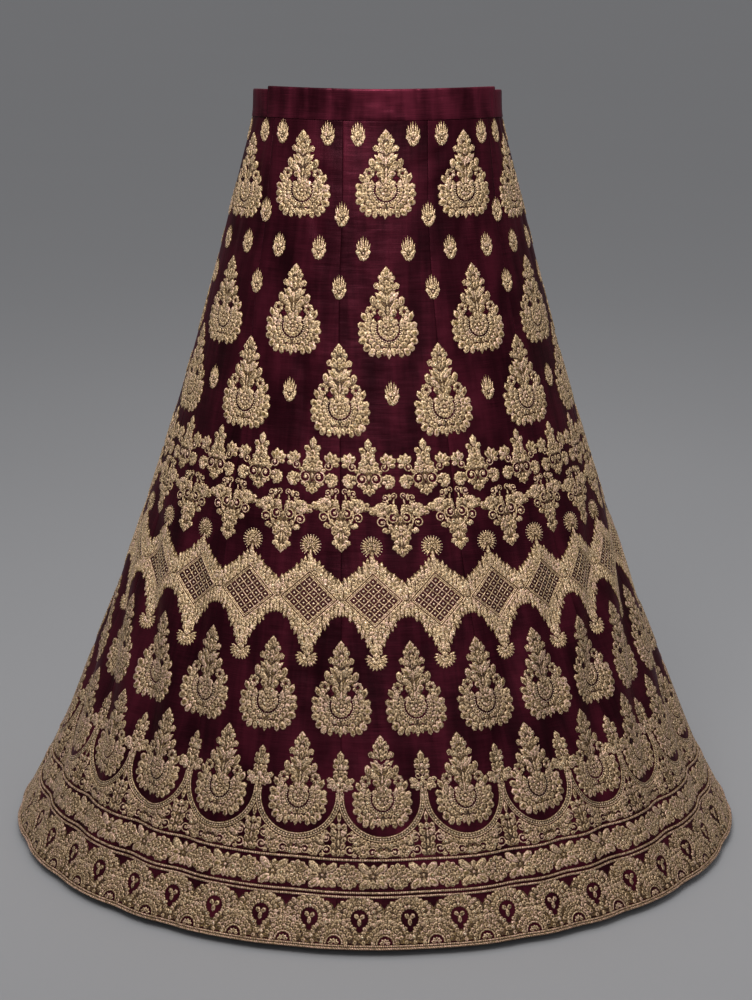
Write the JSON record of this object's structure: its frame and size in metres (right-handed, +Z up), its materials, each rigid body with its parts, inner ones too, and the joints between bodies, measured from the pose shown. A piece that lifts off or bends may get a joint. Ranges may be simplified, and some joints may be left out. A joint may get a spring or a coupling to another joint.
{
  "type": "flared embroidered lehenga skirt",
  "caption": "Floor-length flared lehenga skirt of tapered silk panels on a straight waistband, with couched cords and piping near the hem, held open in its worn shape.",
  "frame": {"origin": "middle of the waist, level with the middle of the front waistband", "axes": "+Z up, -Y towards the front of the wearer, +X to the right as seen from the front"},
  "size_m": [0.9751, 0.8804, 0.9918],
  "materials": {
    "silk": "maroon silk taffeta with a soft sheen",
    "band_silk": "maroon silk taffeta, folded double over a stiffener",
    "gold_cord": "antique gold beaded cord",
    "pale_cord": "pale rose-gold couched cord"
  },
  "bodies": {
    "root": {"kali_01": "silk", "kali_02": "silk", "kali_03": "silk", "kali_04": "silk", "kali_05": "silk", "kali_06": "silk", "kali_07": "silk", "kali_08": "silk", "kali_09": "silk", "kali_10": "silk", "kali_11": "silk", "kali_12": "silk", "waistband_front": "band_silk", "waistband_back": "band_silk", "border_cord": "gold_cord", "twin_cord_upper": "pale_cord", "twin_cord_lower": "pale_cord", "hem_piping": "gold_cord"}
  },
  "joints": []
}
